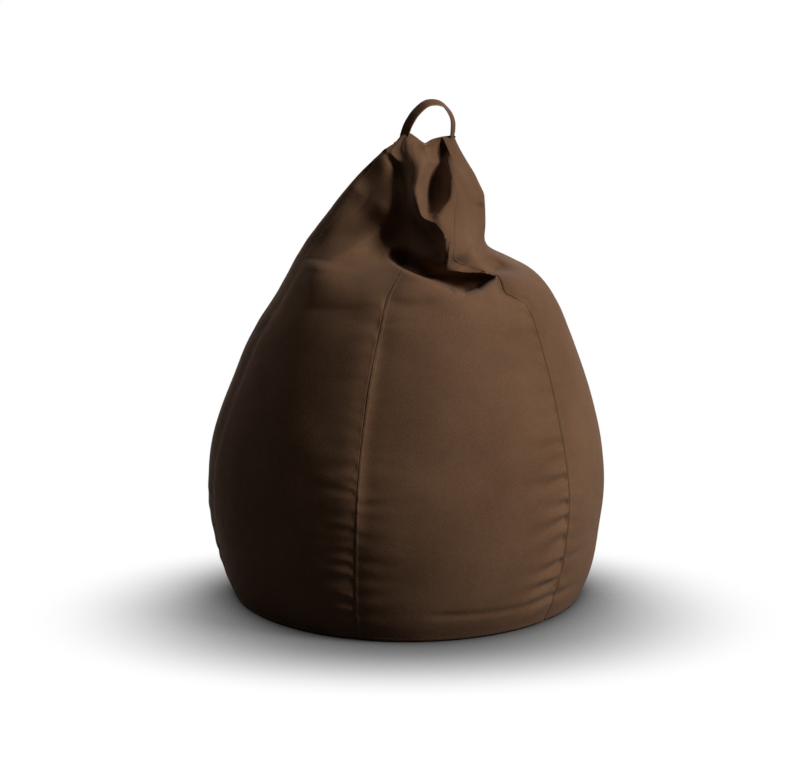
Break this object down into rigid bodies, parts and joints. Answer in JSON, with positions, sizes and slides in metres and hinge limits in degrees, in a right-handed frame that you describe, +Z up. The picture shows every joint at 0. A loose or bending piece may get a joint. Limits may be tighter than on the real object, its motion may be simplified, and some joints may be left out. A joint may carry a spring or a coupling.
{
  "type": "bean bag chair",
  "caption": "Teardrop bean bag chair of sewn leatherette panels, plump below and slack and folded at the neck, with a strap handle and a zip at the back.",
  "frame": {"origin": "centre of the round base panel, on the floor", "axes": "+Z up, -Y towards the front that the picture shows, +X to the right of that view"},
  "size_m": [0.8345, 0.8258, 1.0328],
  "materials": {
    "leatherette": "satin, fine grain",
    "strap": "satin with rust coloured edges",
    "thread": "matt polyester thread",
    "zip_tape": "woven tape",
    "zip_teeth": "nylon coil",
    "zip_metal": "dark lacquer",
    "liner_cloth": "non-woven cloth",
    "beads": "expanded polystyrene beads"
  },
  "bodies": {
    "cover": {"front_panel": "leatherette", "right_panel": "leatherette", "rear_right_panel": "leatherette", "rear_left_panel": "leatherette", "left_panel": "leatherette", "front_left_panel": "leatherette", "base_panel": "leatherette", "top_cap": "leatherette", "seam_thread_front_left": "thread", "seam_thread_front_right": "thread", "seam_thread_right": "thread", "seam_thread_rear": "thread", "seam_thread_rear_left": "thread", "seam_thread_left": "thread", "seam_thread_base": "thread", "handle_tail_left": "strap", "handle_tail_right": "strap", "handle_bar_tacks": "thread", "cover_zip_tape_upper": "zip_tape", "cover_zip_tape_lower": "zip_tape", "cover_zip_teeth_upper": "zip_teeth", "cover_zip_teeth_lower": "zip_teeth", "cover_zip_stops": "zip_metal", "liner_side": "liner_cloth", "liner_base": "liner_cloth", "liner_top": "liner_cloth", "liner_zip_tape_upper": "zip_tape", "liner_zip_tape_lower": "zip_tape", "liner_zip_teeth_upper": "zip_teeth", "liner_zip_teeth_lower": "zip_teeth", "liner_zip_stops": "zip_metal", "bead_fill": "beads"},
    "handle": {"carry_handle": "strap"},
    "cover_slider": {"cover_zip_slider": "zip_metal"},
    "cover_pull": {"cover_zip_pull": "zip_metal"},
    "liner_slider": {"liner_zip_slider": "zip_metal"}
  },
  "joints": [
    {"name": "handle_flop", "type": "hinge", "parent": "cover", "child": "handle", "pos_m": [0.04244, 0.00254, 0.9545], "axis": [0.9063, 0.4226, 0], "range_deg": [-115, 65], "stiffness_Nm_per_rad": 0.03},
    {"name": "cover_zip_travel", "type": "hinge", "parent": "cover", "child": "cover_slider", "pos_m": [0, 0, 0.02], "axis": [0, 0, -1], "range_deg": [0, 84.5]},
    {"name": "cover_pull_swing", "type": "hinge", "parent": "cover_slider", "child": "cover_pull", "pos_m": [-0.18801, 0.33522, 0.0182], "axis": [-0.1877, 0.3347, 0.9234], "range_deg": [0, 180]},
    {"name": "liner_zip_travel", "type": "hinge", "parent": "cover", "child": "liner_slider", "pos_m": [0, 0, 0.02], "axis": [0, 0, -1], "range_deg": [0, 84.5]}
  ]
}
